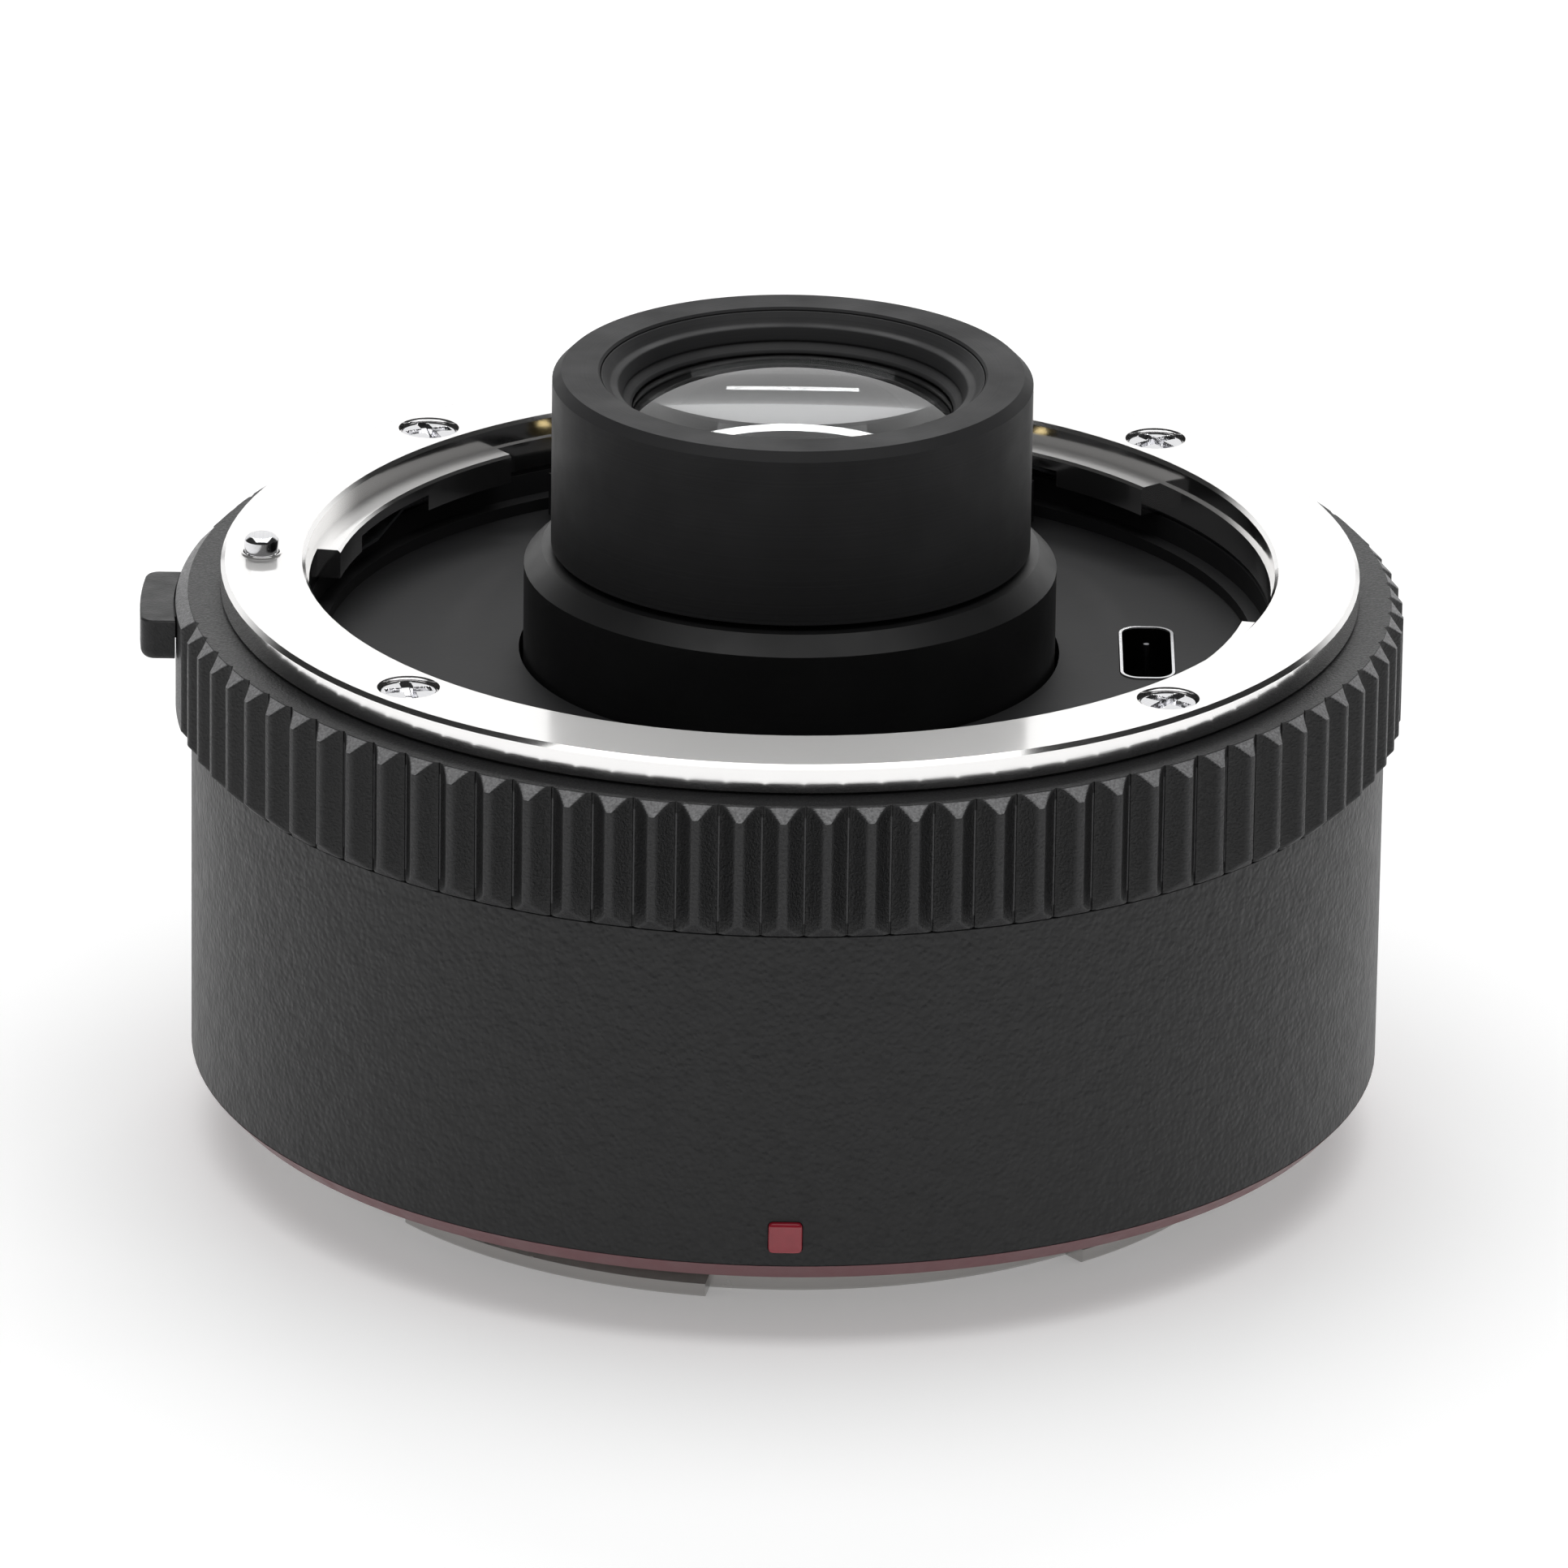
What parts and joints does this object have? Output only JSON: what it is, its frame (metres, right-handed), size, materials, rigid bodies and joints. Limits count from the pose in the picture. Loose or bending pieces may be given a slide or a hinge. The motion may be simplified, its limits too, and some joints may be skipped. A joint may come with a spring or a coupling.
{
  "type": "camera teleconverter",
  "caption": "Ring-shaped camera teleconverter: male bayonet at the back, female bayonet at the front, and a narrow lens barrel standing out of its throat.",
  "frame": {"origin": "on the optical axis, on the flange face that meets the camera", "axes": "+Z along the optical axis towards the lens; -Y towards the index bead; -X towards the lens release; +Y towards the electrical contacts"},
  "size_m": [0.0717, 0.0696, 0.0453],
  "materials": {
    "body_paint": "fine wrinkle black paint",
    "grip_paint": "satin black, ridged",
    "accent_red": "dark red anodised",
    "bead_red": "glossy moulded bead",
    "bright_mount": "turned and polished, plated brass",
    "screw_steel": "bright cross-head",
    "dark_screw": "blackened",
    "spring_steel": "dull spring steel",
    "throat_black": "matt black moulding",
    "barrel_black": "black anodised, fine turned",
    "ring_black": "matt black anodised",
    "tube_black": "black anodised",
    "coated_glass": "multi-coated",
    "contact_gold": "gold plated",
    "block_black": "moulded",
    "board_green": "solder mask",
    "chip_black": "moulded packages",
    "flex_amber": "polyimide film",
    "lever_paint": "satin black",
    "slot_metal": "thin bright rim"
  },
  "bodies": {
    "converter": {"main_barrel": "body_paint", "accent_ring": "accent_red", "index_bead": "bead_red", "grip_ring": "grip_paint", "lens_side_mount": "bright_mount", "lens_mount_screws": "screw_steel", "mount_leaf_spring": "spring_steel", "throat_ring": "throat_black", "front_baffle_plate": "throat_black", "slot_liner": "slot_metal", "slot_post": "spring_steel", "front_lens_barrel": "barrel_black", "front_retaining_ring": "ring_black", "lens_spacer_1": "ring_black", "lens_spacer_2": "ring_black", "lens_spacer_3": "ring_black", "optical_tube": "tube_black", "optical_tube_screws": "dark_screw", "rear_retaining_ring": "ring_black", "camera_side_mount": "bright_mount", "camera_mount_screws": "screw_steel", "rear_baffle": "throat_black", "rear_baffle_screws": "dark_screw", "front_contact_block": "block_black", "contact_springs": "spring_steel", "front_contact_screws": "dark_screw", "rear_contact_block": "block_black", "rear_contact_pads": "contact_gold", "rear_contact_screws": "dark_screw", "circuit_board": "board_green", "board_screws": "dark_screw", "board_chips": "chip_black", "front_flex_cable": "flex_amber", "rear_flex_cable": "flex_amber", "guide_rods": "screw_steel", "spring_bracket": "spring_steel", "bracket_screws": "dark_screw", "lock_spring": "spring_steel", "lens_element_1": "coated_glass", "lens_element_2": "coated_glass", "lens_element_3": "coated_glass", "lens_element_4": "coated_glass", "lens_element_5": "coated_glass", "lens_element_6": "coated_glass", "lens_element_7": "coated_glass", "lens_element_8": "coated_glass", "lens_element_9": "coated_glass"},
    "release": {"release_lever": "lever_paint", "release_carriage": "dark_screw", "lock_pin": "screw_steel"},
    "contacts": {"contact_pins": "contact_gold"}
  },
  "joints": [
    {"name": "release_slide", "type": "slide", "parent": "converter", "child": "release", "axis": [0, 0, -1], "range_m": [0, 0.00125], "stiffness_N_per_m": 900, "springref_m": -0.002, "deforming": ["lock_spring"]},
    {"name": "contact_press", "type": "slide", "parent": "converter", "child": "contacts", "axis": [0, 0, -1], "range_m": [0, 0.0006], "stiffness_N_per_m": 2500, "springref_m": -0.0006, "deforming": ["contact_springs"]}
  ]
}
